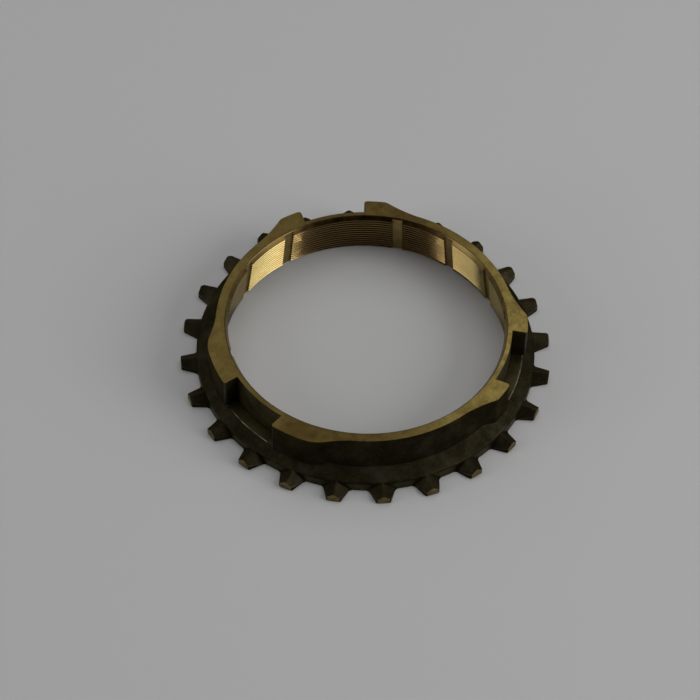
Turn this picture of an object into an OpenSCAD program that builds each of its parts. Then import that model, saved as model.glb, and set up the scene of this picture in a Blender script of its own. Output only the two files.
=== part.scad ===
// Synchronizer ring (baulk ring) of a manual gearbox, forged in brass and turned on the working faces.
// It lies on its gear-side face: z is the ring's axis, and the dog teeth stand round the foot.
// The key notch between the two long lobes is centred on +X.

/* [Ring] */
// Height from the gear-side face to the key-side face
ring_h = 10.9; // [10:0.1:12.5]
// Outside radius of the plain wall at the key-side face
wall_r = 31.35; // [31:0.05:31.8]
// Forging draft of the plain wall, in degrees
wall_draft = 8.4; // [6:0.2:9.6]

/* [Flange] */
// Radius of the flange at the roots of the dog teeth
root_r = 35.65; // [35.4:0.05:36.4]
// Height at which the ledge's slope would meet the flange's upright face
flange_h = 2.37; // [2:0.01:2.6]
// Slope of the ledge that climbs from the flange to the wall, in degrees
ledge_slope = 23; // [16:1:26]
// Rounding between the flange's upright face and the ledge
shoulder_round = 0.6; // [0.3:0.05:1]

/* [Dog teeth] */
// Number of dog teeth
teeth = 24; // [18:6:30]
// Radius at the tips of the dog teeth
tip_r = 39; // [38.4:0.05:39.8]
// Width of a tooth at its tip
tooth_tip_w = 2.85; // [2.2:0.05:3.2]
// Width of a tooth at its root
tooth_root_w = 5.45; // [4.6:0.05:5.8]
// Height of a tooth's ridge at its tip
ridge_h = 2.35; // [2.1:0.05:2.6]
// Angle at which the ridge climbs from the tip to the root, in degrees
ridge_rise = 1; // [0:0.5:4]
// Slope of the two pointing faces that meet in the ridge, in degrees
point_slope = 38; // [32:1:44]
// Least height that the pointing faces leave of a tooth's flanks
flank_h = 0.3; // [0.2:0.05:0.6]
// Rounding of a tooth's two corners at its tip
tip_round = 0.45; // [0.2:0.05:0.7]
// Fillet between a tooth's flank and the flange
root_fillet = 1; // [0.5:0.05:1.3]

/* [Key notches] */
// Width of a notch at its back wall
notch_w = 13.5; // [12.8:0.1:14.4]
// Angle at which each side of a notch opens outwards, in degrees
notch_flare = 6.8; // [3:0.2:9]
// Radius of a notch's back wall
notch_r = 30.45; // [30.35:0.05:30.8]
// Height of a notch's floor above the gear-side face
notch_floor_h = 3.5; // [3.3:0.05:3.8]

/* [Lobes] */
// Outside radius of the lobes
lobe_r = 33.65; // [33.2:0.05:34]
// Angle from a notch's middle to the outer corner of a short lobe, in degrees
short_lobe_end = 19.6; // [18:0.1:21]
// Angle from a notch's middle to the outer corner of a long lobe, in degrees
long_lobe_end = 26.3; // [24:0.1:28]
// Angle by which the outer ends of the two long lobes are turned clockwise, in degrees
long_lobe_turn = 1.4; // [0:0.1:2]
// Rounding of a short lobe's outer corner
short_corner_r = 1.8; // [1:0.1:3]
// Rounding of a long lobe's outer corner
long_corner_r = 8; // [4:0.5:10]
// Radius of the hollow curve that runs from a short lobe down to the wall
short_blend_r = 32; // [22:1:40]
// Radius of the hollow curve that runs from a long lobe down to the wall
long_blend_r = 26; // [18:1:40]
// Rounding of a lobe's edge at the notch
lobe_edge_r = 0.7; // [0.3:0.05:1]

/* [Friction cone] */
// Radius that the friction cone would have at the gear-side face
cone_r = 30.13; // [29.9:0.01:30.3]
// Half angle of the friction cone, in degrees
cone_angle = 7.5; // [6.5:0.1:8]
// Radius of the mouth at the key-side face
mouth_r = 29.4; // [29.3:0.02:29.7]
// Depth of the plain band between the mouth and the friction face
mouth_h = 1.03; // [0.8:0.01:2]
// Chamfer of the cone's wide end
cone_chamfer = 0.4; // [0.2:0.05:0.8]

/* [Oil grooves] */
// Width of an oil groove
groove_w = 2.2; // [1.6:0.1:2.8]
// Depth of an oil groove below the friction face
groove_d = 0.5; // [0.3:0.05:0.6]
// Angle from one oil groove's place to the next, in degrees
groove_pitch = 24; // [20:0.5:26]
// Turn of the grooves from the notches' middles, in degrees
groove_turn = -2.25; // [-4:0.25:4]

/* [Hidden] */
$fn = 180;
notches = 3;
long_notch = 0;
grooves_beside_notch = 2;
// Length by which a cutter stands out of what it cuts
over = 2;
// Height inside the flange at which the lobes start
lobe_foot = 1;
// Width by which a lobe reaches past a notch's side before the notch is cut
lobe_spare = 0.05;
// Depth by which a lobe's hollow curve runs into the wall that it joins
blend_bite = 0.05;
// Radius past every part of the ring
reach_r = tip_r + 4;
draft_run = tan(wall_draft);
ledge_run = tan(ledge_slope);

// Points of an arc about a centre, from one angle to another
function arc(centre, r, from, to, steps) =
    [for (i = [0 : steps]) centre + r * [cos(from + (to - from) * i / steps), sin(from + (to - from) * i / steps)]];

// Point at a radius and an angle
function polar(r, angle) = r * [cos(angle), sin(angle)];

// Angle of a vector
function heading(v) = atan2(v.y, v.x);

// Point along a line through p in direction u that lies at distance r from the axis, on the far side
function on_circle(p, u, r) = p + u * (sqrt(pow(p * u, 2) - p * p + r * r) - p * u);

// Radius of the friction cone at a height
function cone_at(z) = cone_r - z * tan(cone_angle);

// The ring before the lobes, the teeth and the cuts: flange, sloping ledge and drafted wall
module blank() {
    round_angle = (90 - ledge_slope) / 2;
    round_c = [root_r - shoulder_round, flange_h - shoulder_round * tan(round_angle)];
    wall_foot_r = (wall_r + (ring_h - flange_h - root_r * ledge_run) * draft_run) / (1 - ledge_run * draft_run);
    wall_foot = [wall_foot_r, flange_h + (root_r - wall_foot_r) * ledge_run];
    wall_top = [wall_r - over * draft_run, ring_h + over];
    inner_r = wall_r - 3 * over;
    section = concat(
        [[inner_r, 0], [root_r, 0]],
        arc(round_c, shoulder_round, 0, 90 - ledge_slope, 6),
        [wall_foot, wall_top, [inner_r, wall_top.y]]
    );
    rotate_extrude() polygon(section);
}

// Outline from above of the lobe on the left side of a notch that is centred on +X
function lobe_outline(end_angle, corner_r, blend_r) =
    let (
        side = [cos(notch_flare), sin(notch_flare)],
        inward = [-side.y, side.x],
        start = [notch_r - over, notch_w / 2 - over * tan(notch_flare)] - lobe_spare * inward,
        edge_c = on_circle(start + lobe_edge_r * inward, side, lobe_r - lobe_edge_r),
        corner_c = polar(lobe_r - corner_r, end_angle),
        a = wall_r + blend_r - blend_bite,
        b = lobe_r - corner_r,
        c = blend_r + corner_r,
        blend_end = end_angle + acos((a * a + b * b - c * c) / (2 * a * b)),
        hollow_c = polar(a, blend_end),
        turn = heading(hollow_c - corner_c)
    )
    concat(
        [start],
        arc(edge_c, lobe_edge_r, notch_flare - 90, heading(edge_c), 5),
        arc([0, 0], lobe_r, heading(edge_c), end_angle, 8),
        arc(corner_c, corner_r, end_angle, turn, 6),
        arc(hollow_c, blend_r, turn + 180, blend_end + 180, 8),
        [polar(notch_r - over, blend_end)]
    );

// One lobe: an upright pad that runs down to the wall in a hollow curve
module lobe(end_angle, corner_r, blend_r) {
    translate([0, 0, lobe_foot])
        linear_extrude(ring_h + over - lobe_foot) polygon(lobe_outline(end_angle, corner_r, blend_r));
}

// The two lobes of every notch
module lobes() {
    for (i = [0 : notches - 1]) rotate(i * 360 / notches) {
        if (i == long_notch) {
            lobe(long_lobe_end - long_lobe_turn, long_corner_r, long_blend_r);
            mirror([0, 1, 0]) lobe(long_lobe_end + long_lobe_turn, long_corner_r, long_blend_r);
        } else {
            lobe(short_lobe_end, short_corner_r, short_blend_r);
            mirror([0, 1, 0]) lobe(short_lobe_end, short_corner_r, short_blend_r);
        }
    }
}

// Outline of a tooth's left half from above, from the middle of its root to the middle of its tip
function half_tooth() =
    let (
        foot = [root_r, tooth_root_w / 2],
        flank = [tip_r, tooth_tip_w / 2] - foot,
        u = flank / norm(flank),
        n = [-u.y, u.x],
        fillet_c = on_circle(foot + root_fillet * n, u, root_r + root_fillet),
        tip_c = on_circle(foot - tip_round * n, u, tip_r - tip_round)
    )
    concat(
        [[root_r - over, fillet_c.y]],
        arc(fillet_c, root_fillet, 180 + heading(fillet_c), 180 + heading(n), 5),
        arc(tip_c, tip_round, heading(n), heading(tip_c), 4),
        [[tip_r + over, tip_c.y]]
    );

// One dog tooth on +X, pointed towards the sleeve by two sloping faces
module tooth() {
    half = half_tooth();
    last = len(half) - 1;
    outline = concat(half, [for (i = [0 : last]) [half[last - i].x, -half[last - i].y]]);
    eave_w = (ridge_h - flank_h) / tan(point_slope);
    wide = tooth_root_w;
    deep = ridge_h + 2 * over;
    length = 2 * (tip_r - root_r + over);
    house = [
        [0, 0], [-eave_w, flank_h - ridge_h], [-wide, flank_h - ridge_h], [-wide, -deep],
        [wide, -deep], [wide, flank_h - ridge_h], [eave_w, flank_h - ridge_h]
    ];
    intersection() {
        linear_extrude(ridge_h + over) polygon(outline);
        translate([tip_r, 0, ridge_h]) rotate([0, ridge_rise, 0]) rotate([90, 0, 90])
            linear_extrude(length, center = true) polygon(house);
    }
}

// All dog teeth, their tips turned to one diameter
module dog_teeth() {
    intersection() {
        for (i = [0 : teeth - 1]) rotate((i + 0.5) * 360 / teeth) tooth();
        cylinder(h = ring_h, r = tip_r);
    }
}

// The bore: chamfered wide end, friction cone and the plain band that opens to the mouth
module bore() {
    band_z = ring_h - mouth_h;
    band_r = cone_at(band_z);
    top_r = mouth_r + over * (mouth_r - band_r) / mouth_h;
    foot_r = cone_at(cone_chamfer) + cone_chamfer + over;
    rotate_extrude() polygon([
        [0, -over], [foot_r, -over], [cone_at(cone_chamfer), cone_chamfer],
        [band_r, band_z], [top_r, ring_h + over], [0, ring_h + over]
    ]);
}

// Axial grooves that let the oil out of the friction face, none of them behind a notch
module oil_grooves() {
    length = 2 * ring_h;
    for (i = [0 : notches - 1], k = [1 : grooves_beside_notch], side = [-1, 1])
        rotate(i * 360 / notches + groove_turn + side * k * groove_pitch)
            translate([cone_r + groove_d / cos(cone_angle), 0, 0])
                rotate([0, -cone_angle, 0])
                    translate([-notch_r / 4, -groove_w / 2, -ring_h / 2]) cube([notch_r / 4, groove_w, length]);
}

// Notches for the three sliding keys
module key_notches() {
    far = reach_r;
    half_near = notch_w / 2 - over * tan(notch_flare);
    half_far = notch_w / 2 + (far - notch_r) * tan(notch_flare);
    for (i = [0 : notches - 1]) rotate(i * 360 / notches)
        difference() {
            translate([0, 0, notch_floor_h]) linear_extrude(ring_h) polygon([
                [notch_r - over, -half_near], [far, -half_far], [far, half_far], [notch_r - over, half_near]
            ]);
            cylinder(h = 3 * ring_h, r = notch_r);
        }
}

// The cut that faces the key side of the wall and the lobes
module facing_cut() {
    translate([0, 0, ring_h]) cylinder(h = 2 * over, r = reach_r);
}

module synchronizer_ring() {
    color("darkgoldenrod") difference() {
        union() {
            blank();
            lobes();
            dog_teeth();
        }
        facing_cut();
        bore();
        key_notches();
        oil_grooves();
    }
}

synchronizer_ring();
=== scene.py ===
# Synchronizer ring of a manual gearbox: a brass forging with dog teeth round its foot,
# turned on the key-side face, threaded and grooved inside, and dark with forging skin outside.
import math

import bmesh
import bpy
from mathutils import Matrix, Vector


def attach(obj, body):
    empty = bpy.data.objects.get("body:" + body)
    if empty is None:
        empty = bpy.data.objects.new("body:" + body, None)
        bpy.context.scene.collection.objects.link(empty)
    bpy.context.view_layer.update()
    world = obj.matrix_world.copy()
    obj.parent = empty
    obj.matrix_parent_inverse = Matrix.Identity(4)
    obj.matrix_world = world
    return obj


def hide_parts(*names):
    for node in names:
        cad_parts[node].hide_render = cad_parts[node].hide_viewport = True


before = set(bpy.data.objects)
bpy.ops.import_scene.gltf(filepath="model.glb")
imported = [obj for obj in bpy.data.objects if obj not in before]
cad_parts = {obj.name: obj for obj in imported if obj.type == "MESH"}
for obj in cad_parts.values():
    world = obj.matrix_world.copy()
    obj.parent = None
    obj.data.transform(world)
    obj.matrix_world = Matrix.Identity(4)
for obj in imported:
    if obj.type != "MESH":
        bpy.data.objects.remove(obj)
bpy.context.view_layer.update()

# The body of the ring, one piece of brass from the forging die.
# Its edges are broken as tumbling leaves them, and the ridges of its teeth are rounded.
# Each face has the finish of the tool that made it, or keeps its forging skin.
MM = 0.001
weld_dist = 0.002 * MM
flat_angle = math.radians(0.4)
ring_mesh = bmesh.new()
ring_mesh.from_mesh(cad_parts["synchronizer_ring"].data)
bmesh.ops.remove_doubles(ring_mesh, verts=ring_mesh.verts, dist=weld_dist)
bmesh.ops.dissolve_limit(
    ring_mesh, angle_limit=flat_angle, verts=ring_mesh.verts, edges=ring_mesh.edges
)

# Heights and radii of the solid, with turns in degrees
key_face_z = 10.9 * MM
band_foot_z = 9.87 * MM
band_max_r = 29.63 * MM
cone_foot_r = 30.13 * MM
cone_slope = math.tan(math.radians(7.5))
cone_chamfer_z = 0.4 * MM
notch_count = 3
notch_turn = 360 / notch_count
notch_floor_z = 3.5 * MM
notch_wall_r = 30.45 * MM
notch_rim_r = notch_wall_r + 1 * MM
notch_reach_r = notch_wall_r + 3 * MM
lobe_r = 33.65 * MM
lobe_edge_reach = 0.9 * MM
lobe_edge_turn = (11.6, 13.6)
flange_r = 35.65 * MM
flange_h = 2 * MM
tip_r = 39 * MM
near = 0.1 * MM
touching = 0.01 * MM
SKIN, TURNED, MOUTH, FRICTION, GROOVE, TIP, FLANGE, NOTCH, EDGE, RIM_WEAR_AND_HIGHLIGHT, TOOTH = range(11)


def cone_r(z):
    return cone_foot_r - z * cone_slope


def turn_from_notch(place):
    turn = math.degrees(math.atan2(place.y, place.x))
    return abs((turn + notch_turn / 2) % notch_turn - notch_turn / 2)


# A face's finish follows from its height, its radius and where it looks: up and outward are
# the shares of its normal along the ring's axis and straight away from it.
def bore_finish(z, r, up, outward):
    if z > band_foot_z + near / 2 and outward < -0.8 and r < band_max_r:
        return MOUTH
    if z < cone_chamfer_z and up < -0.4:
        return TURNED
    if outward < -0.95 and r < cone_r(z) + near:
        return FRICTION
    if r < notch_wall_r - 2 * touching or outward < -0.5:
        return GROOVE
    return None


def in_notch(z, r, up, outward):
    if z < notch_floor_z - touching or r > notch_reach_r:
        return False
    back_wall = outward > 0.98 and r < notch_wall_r + near / 2
    side_wall = abs(outward) < 0.35 and abs(up) < 0.05
    floor = up > 0.98
    return back_wall or side_wall or floor


def on_lobe_edge(place, r, up, outward):
    least, most = lobe_edge_turn
    beside_notch = least < turn_from_notch(place) < most and place.z > notch_floor_z
    at_edge = r > lobe_r - lobe_edge_reach and 0.3 < outward < 0.985
    return beside_notch and at_edge and abs(up) < 0.2


def finish_of(face):
    place = face.calc_center_median()
    z = place.z
    r = math.hypot(place.x, place.y)
    up = face.normal.z
    outward = (face.normal.x * place.x + face.normal.y * place.y) / r
    if up < -0.95 or up > 0.95 and z > key_face_z - 2 * touching:
        return TURNED
    if r < notch_wall_r + 2 * near and outward < 0.3:
        inner = bore_finish(z, r, up, outward)
        if inner is not None:
            return inner
    if outward > 0.97 and r > tip_r - 3 * near:
        return TIP
    if on_lobe_edge(place, r, up, outward):
        return EDGE
    if outward > 0.99 and abs(r - flange_r) < near and z < flange_h:
        return FLANGE
    if in_notch(z, r, up, outward):
        return NOTCH
    if r > flange_r + 2 * near and up > 0.3:
        return TOOTH
    return SKIN


# Where a lobe, the ledge and a notch's floor meet, the solid has vertices very close together.
shelf_corner_r = 33.1 * MM
shelf_corner_turn = 12.15
shelf_corner_play = 0.35
shelf_corner_h = 0.12 * MM
shelf_corner_gap = 0.2 * MM


def on_shelf_corner(vert):
    return (
        abs(vert.co.xy.length - shelf_corner_r) < shelf_corner_gap
        and abs(turn_from_notch(vert.co) - shelf_corner_turn) < shelf_corner_play
        and abs(vert.co.z - notch_floor_z) < shelf_corner_h
    )


bmesh.ops.remove_doubles(
    ring_mesh, verts=[v for v in ring_mesh.verts if on_shelf_corner(v)], dist=shelf_corner_gap
)
ring_mesh.normal_update()
for face in ring_mesh.faces:
    face.material_index = finish_of(face)

# Broken edges: all sharp ones outside the bore and the outer rims of the notches' floors.
break_w = 0.12 * MM
break_angle = math.radians(28)
tooth_root_reach = 0.5 * MM


def edge_middle(edge):
    return (edge.verts[0].co + edge.verts[1].co) / 2


def on_shelf_rim(edge):
    finishes = {f.material_index for f in edge.link_faces}
    level = all(abs(v.co.z - notch_floor_z) < touching for v in edge.verts)
    outside = all(v.co.xy.length > notch_rim_r for v in edge.verts)
    return level and outside and finishes == {NOTCH, SKIN}


def on_tooth_ridge(edge):
    middle = edge_middle(edge)
    sideways = Vector((-middle.y, middle.x, 0)).normalized()
    leans = sorted(f.normal.dot(sideways) for f in edge.link_faces)
    facing_up = all(f.normal.z > 0.4 for f in edge.link_faces)
    return middle.xy.length > flange_r and leans[0] < 0 < leans[-1] and facing_up


def at_tooth_root(edge):
    return abs(edge_middle(edge).xy.length - flange_r) < tooth_root_reach


broken_edges = [
    e for e in ring_mesh.edges
    if (e.calc_face_angle(0) > break_angle or on_shelf_rim(e))
    and not at_tooth_root(e) and not on_tooth_ridge(e)
    and all(f.material_index not in (FRICTION, GROOVE) for f in e.link_faces)
]
broken = bmesh.ops.bevel(
    ring_mesh, geom=broken_edges, offset=break_w, offset_type="OFFSET", affect="EDGES",
    segments=2, profile=0.5, material=-1, clamp_overlap=False,
)
ring_mesh.normal_update()
broken_faces = dict.fromkeys(broken["faces"])
for face in broken_faces:
    place = face.calc_center_median()
    beside = dict.fromkeys(f for e in face.edges for f in e.link_faces)
    lifts = [
        (f.calc_center_median() - place).normalized().dot(face.normal)
        for f in beside if f not in broken_faces
    ]
    if sum(lifts) > 0:
        face.material_index = SKIN
    elif all(f.material_index in (SKIN, NOTCH, EDGE, RIM_WEAR_AND_HIGHLIGHT, TOOTH) for f in beside):
        # The notch floors' outer rims get the pale rim colour: wear, with a painted highlight.
        on_rim = abs(place.z - notch_floor_z) < near and place.xy.length > notch_rim_r
        face.material_index = RIM_WEAR_AND_HIGHLIGHT if on_rim else EDGE

# Tooth ridges: each roof is cut on both sides of its ridge, whose outer end is then worn down.
tooth_count = 24
tooth_half_w = 2.5 * MM
ridge_half_w = 0.3 * MM
ridge_drop = 0.17 * MM
ridge_end_r = tip_r - 0.5 * MM
cut_snap = 0.001 * MM


def cut_across(faces, point, normal):
    verts = dict.fromkeys(v for f in faces for v in f.verts)
    edges = dict.fromkeys(e for f in faces for e in f.edges)
    cut = bmesh.ops.bisect_plane(
        ring_mesh, geom=[*verts, *edges, *faces], dist=cut_snap, plane_co=point, plane_no=normal
    )
    return [f for f in cut["geom"] if isinstance(f, bmesh.types.BMFace)]


def on_tooth_roof(face, towards, sideways):
    place = face.calc_center_median()
    on_tooth = place.dot(towards) > flange_r and abs(place.dot(sideways)) < tooth_half_w
    return on_tooth and face.normal.z > 0.1


for tooth in range(tooth_count):
    middle = 2 * math.pi * (tooth + 0.5) / tooth_count
    towards = Vector((math.cos(middle), math.sin(middle), 0))
    sideways = Vector((-towards.y, towards.x, 0))
    roof = [f for f in ring_mesh.faces if on_tooth_roof(f, towards, sideways)]
    for side in (-1, 1):
        roof = cut_across(roof, sideways * side * ridge_half_w, sideways)
    for vert in {v for f in roof for v in f.verts}:
        on_ridge = abs(vert.co.dot(sideways)) < 2 * touching
        if on_ridge and vert.co.dot(towards) > ridge_end_r:
            vert.co.z -= ridge_drop

# The thread of the friction cone, cut with a single point into the lands between the oil grooves.
# It wipes the oil off the mating cone. Its crests lie on the cone, its roots are cut into it.
thread_pitch = 0.8 * MM
thread_depth = 0.25 * MM
thread_crest = 0.22 * MM
thread_root = 0.1 * MM
thread_flank = (thread_pitch - thread_crest - thread_root) / 2
thread_lead = thread_pitch / (2 * math.pi * cone_foot_r)
groove_turn = -2.25
groove_pitch = 24
land_places = (0, 1.5, 2.5, 3.5)


def thread_cut(step):
    rise = min(step - thread_crest, thread_pitch - step) / thread_flank
    return thread_depth * max(0, min(1, rise))


cut_depths = {}
for third, land_place in ((t, p) for t in range(notch_count) for p in land_places):
    middle = notch_turn * third + groove_turn + land_place * groove_pitch
    half_turn = groove_pitch if land_place == 0 else groove_pitch / 2
    least_cosine = math.cos(math.radians(half_turn))
    towards = Vector((math.cos(math.radians(middle)), math.sin(math.radians(middle)), 0))
    along = Vector((-towards.y, towards.x, 0))
    normal = Vector((0, 0, 1)) - along * thread_lead
    first_z = (thread_pitch * middle / 360) % thread_pitch + cone_chamfer_z - thread_pitch
    land = [
        f for f in ring_mesh.faces
        if f.material_index == FRICTION
        and f.calc_center_median().xy.normalized().dot(towards.xy) > least_cosine
    ]
    turn_z = first_z
    while turn_z + thread_pitch / 2 < band_foot_z:
        root_z = turn_z + thread_crest + thread_flank
        turn_end_z = turn_z + thread_pitch
        for level in (turn_z + thread_crest, root_z, root_z + thread_root, turn_end_z):
            land = cut_across(land, towards * cone_foot_r + Vector((0, 0, level)), normal)
        turn_z += thread_pitch
    for vert in {v for f in land for v in f.verts}:
        if all(f.material_index in (FRICTION, GROOVE) for f in vert.link_faces):
            step = (vert.co.z - vert.co.dot(along) * thread_lead - first_z) % thread_pitch
            cut_depths[vert] = thread_cut(step)
for vert, depth in cut_depths.items():
    vert.co += Vector((vert.co.x, vert.co.y, 0)).normalized() * depth

smooth_angle = math.radians(34)
ring_mesh.normal_update()
for face in ring_mesh.faces:
    face.smooth = True
for edge in ring_mesh.edges:
    edge.smooth = edge.calc_face_angle(0) < smooth_angle or on_tooth_ridge(edge)
ring_data = bpy.data.meshes.new("ring_body")
ring_mesh.to_mesh(ring_data)
ring_mesh.free()
ring_body = bpy.data.objects.new("ring_body", ring_data)
bpy.context.scene.collection.objects.link(ring_body)
even_normals = ring_body.modifiers.new("even_normals", "WEIGHTED_NORMAL")
even_normals.keep_sharp = True
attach(ring_body, "root")
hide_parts("synchronizer_ring")


def new_material(name):
    material = bpy.data.materials.new(name)
    material.use_nodes = True
    nodes = material.node_tree.nodes
    return material, nodes, material.node_tree.links, nodes["Principled BSDF"]


def object_place(nodes):
    return nodes.new("ShaderNodeTexCoord").outputs["Object"]


def noise(nodes, links, where, scale, detail=4, roughness=0.55):
    node = nodes.new("ShaderNodeTexNoise")
    node.inputs["Scale"].default_value = scale
    node.inputs["Detail"].default_value = detail
    node.inputs["Roughness"].default_value = roughness
    links.new(where, node.inputs["Vector"])
    return node.outputs["Fac"]


def ramp(nodes, links, fac, stops):
    node = nodes.new("ShaderNodeValToRGB")
    while len(node.color_ramp.elements) < len(stops):
        node.color_ramp.elements.new(0.5)
    for element, (position, colour) in zip(node.color_ramp.elements, stops):
        element.position = position
        element.color = (*colour, 1)
    links.new(fac, node.inputs["Fac"])
    return node.outputs["Color"]


def spread(nodes, links, fac, low, high, from_low=0.3, from_high=0.7):
    node = nodes.new("ShaderNodeMapRange")
    node.inputs["From Min"].default_value = from_low
    node.inputs["From Max"].default_value = from_high
    node.inputs["To Min"].default_value = low
    node.inputs["To Max"].default_value = high
    links.new(fac, node.inputs["Value"])
    return node.outputs["Result"]


def bump(nodes, links, shader, height, strength, distance):
    node = nodes.new("ShaderNodeBump")
    node.inputs["Strength"].default_value = strength
    node.inputs["Distance"].default_value = distance
    links.new(height, node.inputs["Height"])
    links.new(node.outputs["Normal"], shader.inputs["Normal"])


def mixed(nodes, links, fac, first, second):
    node = nodes.new("ShaderNodeMix")
    node.data_type = "RGBA"
    links.new(fac, node.inputs["Factor"])
    links.new(first, node.inputs["A"])
    links.new(second, node.inputs["B"])
    return node.outputs["Result"]


def towards_side(nodes, links, where, direction):
    node = nodes.new("ShaderNodeVectorMath")
    node.operation = "DOT_PRODUCT"
    node.inputs[1].default_value = direction
    links.new(where, node.inputs[0])
    return node.outputs["Value"]


# Forging skin: brass under a dull olive-brown oxide with oil in it, finely grained.
# On the roofs of the teeth, which face up, it is painted lighter: rub wear from the sleeve, and
# painted light from above.
def forged(name, lift):
    def lifted(stops):
        return [(position, tuple(lift * part for part in colour)) for position, colour in stops]

    material, nodes, links, shader = new_material(name)
    place = object_place(nodes)
    oxide = ramp(nodes, links, noise(nodes, links, place, 200, 6, 0.6), lifted([
        (0.3, (0.0135, 0.0104, 0.0048)), (0.5, (0.023, 0.0187, 0.0095)),
        (0.7, (0.045, 0.0387, 0.0225)),
    ]))
    grain = ramp(nodes, links, noise(nodes, links, place, 700, 3), lifted([
        (0.4, (0.033, 0.0272, 0.0154)), (0.7, (0.065, 0.0553, 0.034)),
    ]))
    speckle = spread(nodes, links, noise(nodes, links, place, 2400, 4, 0.7), 0, 0.75, 0.48, 0.72)
    roughness = spread(nodes, links, noise(nodes, links, place, 900, 3), 0.55, 0.7)
    links.new(mixed(nodes, links, speckle, oxide, grain), shader.inputs["Base Color"])
    links.new(roughness, shader.inputs["Roughness"])
    shader.inputs["Metallic"].default_value = 1.0
    shader.inputs["Specular Tint"].default_value = (0.75, 0.67, 0.52, 1)
    bump(nodes, links, shader, noise(nodes, links, place, 3000, 4), 0.4, 0.06 * MM)
    return material


skin = forged("forging_skin", 1)
# Tooth roofs: the skin 1.25 times lighter, for rub wear and painted light from above.
tooth_roof_worn_and_lit = forged("tooth_roof_worn_and_lit_skin", 1.25)

# Turned brass: the key-side face and the gear-side face, with fine lathe rings and old stains.
# A painted sheen makes it lighter on the camera's right side of the ring, and a little lighter on
# its left.
turned, nodes, links, shader = new_material("turned_brass")
place = object_place(nodes)
across = nodes.new("ShaderNodeVectorMath")
across.operation = "MULTIPLY"
across.inputs[1].default_value = (1, 1, 0)
links.new(place, across.inputs[0])
radius = nodes.new("ShaderNodeVectorMath")
radius.operation = "LENGTH"
links.new(across.outputs["Vector"], radius.inputs[0])
rings = nodes.new("ShaderNodeTexNoise")
rings.noise_dimensions = "1D"
rings.inputs["Scale"].default_value = 5000
rings.inputs["Detail"].default_value = 2
links.new(radius.outputs["Value"], rings.inputs["W"])
plain_colour = ramp(nodes, links, noise(nodes, links, place, 150, 4), [
    (0.3, (0.083, 0.057, 0.016)), (0.55, (0.109, 0.077, 0.0218)), (0.75, (0.14, 0.103, 0.0305)),
])
stained = ramp(nodes, links, noise(nodes, links, place, 500, 3), [
    (0.35, (0.062, 0.036, 0.012)), (0.7, (0.12, 0.076, 0.026)),
])
# Painted sheen: the lighter colour that is mixed in on the right and left of the ring.
sheen_colour = ramp(nodes, links, noise(nodes, links, place, 420, 7, 0.7), [
    (0.35, (0.172, 0.125, 0.0355)), (0.65, (0.375, 0.285, 0.087)),
])
stain = spread(nodes, links, noise(nodes, links, place, 260, 8, 0.75), 0.0, 0.95, 0.46, 0.6)
sheen_direction = (-15, 19, 0)
sheen_side = towards_side(nodes, links, place, sheen_direction)
painted_sheen = ramp(nodes, links, spread(nodes, links, sheen_side, 0, 1, -0.75, 0.75), [
    (0, (0.3, 0.3, 0.3)), (0.35, (0, 0, 0)), (0.6, (0, 0, 0)), (1, (1, 1, 1)),
])
links.new(
    mixed(nodes, links, painted_sheen, mixed(nodes, links, stain, plain_colour, stained), sheen_colour),
    shader.inputs["Base Color"],
)
shader.inputs["Metallic"].default_value = 1.0
links.new(spread(nodes, links, rings.outputs["Fac"], 0.34, 0.5), shader.inputs["Roughness"])
bump(nodes, links, shader, rings.outputs["Fac"], 0.15, 0.02 * MM)


# Brass of the bore: one plain colour, and a second colour painted in towards the back of the
# ring,
# away from the camera: painted light and shade for what the bore mirrors there.
# The direction's length makes it 1 at the bore's wall.
back_shade_direction = (-24, -24, 0)


def back_shaded_brass(name, back_shade_span, plain_colour, back_shaded_colour, fine_noise, roughness):
    material, nodes, links, shader = new_material(name)
    place = object_place(nodes)
    back_shade_side = towards_side(nodes, links, place, back_shade_direction)
    base_colours = [
        ramp(nodes, links, noise(nodes, links, place, scale), stops)
        for scale, stops in (plain_colour, back_shaded_colour)
    ]
    # Painted light and shade: the second colour is mixed in towards the back of the ring.
    links.new(
        mixed(nodes, links, spread(nodes, links, back_shade_side, 0, 1, *back_shade_span), *base_colours),
        shader.inputs["Base Color"],
    )
    shader.inputs["Metallic"].default_value = 1.0
    links.new(
        spread(nodes, links, noise(nodes, links, place, *fine_noise), *roughness),
        shader.inputs["Roughness"],
    )
    return material


# Mouth band: a smooth turned chamfer, painted darker towards the back as painted shade.
mouth = back_shaded_brass(
    "mouth_brass_with_painted_shade", back_shade_span=(0.55, 0.9),
    plain_colour=(180, [(0.3, (0.2, 0.14, 0.048)), (0.7, (0.28, 0.2, 0.075))]),
    back_shaded_colour=(300, [(0.35, (0.08, 0.046, 0.016)), (0.7, (0.15, 0.092, 0.034))]),
    fine_noise=(300, 3), roughness=(0.26, 0.36),
)

# Threaded brass: bright crests that the mating cone keeps burnished, painted a warmer, lighter
# brown towards the back as painted light.
threaded = back_shaded_brass(
    "threaded_brass", back_shade_span=(0.7, 0.92),
    plain_colour=(220, [(0.3, (0.21, 0.157, 0.057)), (0.7, (0.29, 0.226, 0.091))]),
    back_shaded_colour=(220, [(0.3, (0.275, 0.172, 0.059)), (0.7, (0.375, 0.246, 0.094))]),
    fine_noise=(60, 2), roughness=(0.14, 0.2),
)


# Brass dulled by use: a blotchy colour, and a roughness that varies on a finer scale.
def dull_brass(name, blotches, stops, metallic, fine_scale, roughness):
    material, nodes, links, shader = new_material(name)
    place = object_place(nodes)
    links.new(
        ramp(nodes, links, noise(nodes, links, place, *blotches), stops),
        shader.inputs["Base Color"],
    )
    shader.inputs["Metallic"].default_value = metallic
    links.new(
        spread(nodes, links, noise(nodes, links, place, fine_scale, 3), *roughness),
        shader.inputs["Roughness"],
    )
    return material


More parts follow.
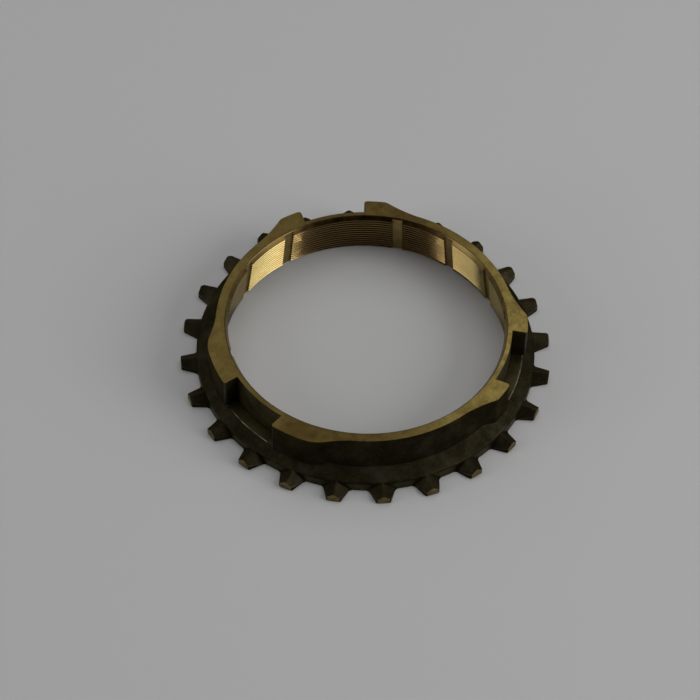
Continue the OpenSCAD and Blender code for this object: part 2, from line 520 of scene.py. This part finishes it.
# Oil grooves: milled, and dull with old oil.
grooved = dull_brass(
    "grooved_brass", blotches=(400, 4),
    stops=[(0.3, (0.26, 0.182, 0.065)), (0.7, (0.42, 0.312, 0.124))],
    metallic=1.0, fine_scale=1200, roughness=(0.4, 0.55),
)

# Tooth tips: turned to one diameter after forging, so dull brass shows there.
tip = dull_brass(
    "tooth_tip_brass", blotches=(600, 4),
    stops=[
        (0.3, (0.09, 0.065, 0.022)), (0.6, (0.19, 0.145, 0.052)), (0.75, (0.27, 0.21, 0.08)),
    ],
    metallic=0.85, fine_scale=1800, roughness=(0.45, 0.62),
)

# Flange face between the teeth: cut with the tooth flanks, so it has less skin.
flange = dull_brass(
    "cut_flange", blotches=(450, 5),
    stops=[
        (0.3, (0.032, 0.026, 0.0085)), (0.55, (0.055, 0.045, 0.0155)),
        (0.75, (0.085, 0.07, 0.026)),
    ],
    metallic=1.0, fine_scale=1500, roughness=(0.4, 0.55),
)

# Notch faces: broached, then darkened by oil and wear from the keys.
notch = dull_brass(
    "broached_notch", blotches=(350, 4),
    stops=[(0.3, (0.027, 0.021, 0.007)), (0.7, (0.078, 0.062, 0.022))],
    metallic=0.85, fine_scale=1500, roughness=(0.4, 0.55),
)

# Rubbed rims: the outer rims of the notches' floors, which the keys keep bare, painted a pale
# grey as a painted highlight along them.
rim_wear_and_highlight = dull_brass(
    "rubbed_rim_highlight", blotches=(500, 4),
    stops=[
        (0.35, (0.045, 0.04, 0.026)), (0.52, (0.13, 0.12, 0.084)), (0.7, (0.25, 0.23, 0.166)),
    ],
    metallic=0.9, fine_scale=1500, roughness=(0.3, 0.45),
)

# Worn edges: the skin is rubbed through to dull brass along the outer edges.
worn, nodes, links, shader = new_material("worn_edge")
links.new(
    ramp(nodes, links, noise(nodes, links, object_place(nodes), 700, 4), [
        (0.35, (0.016, 0.013, 0.006)), (0.6, (0.036, 0.03, 0.015)), (0.75, (0.08, 0.066, 0.033)),
    ]),
    shader.inputs["Base Color"],
)
shader.inputs["Metallic"].default_value = 0.5
shader.inputs["Roughness"].default_value = 0.42
for material in (
    skin, turned, mouth, threaded, grooved, tip, flange, notch, worn, rim_wear_and_highlight, tooth_roof_worn_and_lit
):
    ring_data.materials.append(material)

# The table that the ring lies on: plain matt paper, pale grey.
table_half_w = 2
table_mesh = bmesh.new()
bmesh.ops.create_grid(table_mesh, x_segments=1, y_segments=1, size=table_half_w)
table_data = bpy.data.meshes.new("table")
table_mesh.to_mesh(table_data)
table_mesh.free()
table = bpy.data.objects.new("table", table_data)
bpy.context.scene.collection.objects.link(table)
paper, nodes, links, shader = new_material("pale_paper")
shader.inputs["Base Color"].default_value = (0.58, 0.58, 0.58, 1)
shader.inputs["Roughness"].default_value = 0.9
table_data.materials.append(paper)

# Light: a soft box on each side, a wide ceiling towards the back, and a dark room.
# Five small dim panels stand low at the sides and at the back, for the mouth band and the ledge.
# The places are given along the photograph's own right and back.
image_right = Vector((-0.7157, 0.6984, 0))
image_back = Vector((-0.6984, -0.7157, 0))


def soft_box(name, across, back, up, size, power):
    lamp = bpy.data.lights.new(name, "AREA")
    lamp.shape = "SQUARE"
    lamp.size = size
    lamp.energy = power
    box = bpy.data.objects.new(name, lamp)
    place = image_right * across + image_back * back + Vector((0, 0, up))
    turn = (-place).to_track_quat("-Z", "Y").to_matrix().to_4x4()
    box.matrix_world = Matrix.Translation(place) @ turn
    bpy.context.scene.collection.objects.link(box)


soft_box("left_box", across=-0.7, back=-0.26, up=0.37, size=0.42, power=1.0)
soft_box("right_box", across=0.72, back=-0.19, up=0.42, size=0.52, power=3.1)
soft_box("ceiling", across=0.1, back=0.35, up=0.95, size=1.4, power=4.8)
soft_box("back_fill", across=-0.52, back=0.53, up=0.41, size=0.45, power=0.35)
soft_box("left_wall", across=-0.72, back=0.27, up=0.21, size=0.4, power=0.2)
soft_box("right_wall", across=0.71, back=0.3, up=0.21, size=0.4, power=0.2)
soft_box("left_low", across=-0.72, back=-0.29, up=0.12, size=0.22, power=0.5)
soft_box("right_low", across=0.72, back=-0.3, up=0.14, size=0.28, power=0.45)
world = bpy.data.worlds.new("dim_room")
world.use_nodes = True
world.node_tree.nodes["Background"].inputs["Color"].default_value = (0.02, 0.02, 0.02, 1)
bpy.context.scene.world = world

# The camera looks down on the front right of the ring at about 51 degrees.
camera_roll = math.radians(1.2487)
photo_px = 700
camera_data = bpy.data.cameras.new("camera")
camera_data.sensor_width = 36
camera_data.lens = 120.467
camera_data.shift_y = 0.5 / photo_px
camera = bpy.data.objects.new("camera", camera_data)
eye = Vector((217.10, 222.47, 386.38)) * MM
aim = Vector((1.916, -2.724, 0)) * MM
camera.matrix_world = (
    Matrix.Translation(eye)
    @ (aim - eye).to_track_quat("-Z", "Y").to_matrix().to_4x4()
    @ Matrix.Rotation(camera_roll, 4, "Z")
)
bpy.context.scene.collection.objects.link(camera)
bpy.context.scene.camera = camera
bpy.context.scene.view_settings.view_transform = "Standard"

bpy.context.view_layer.update()
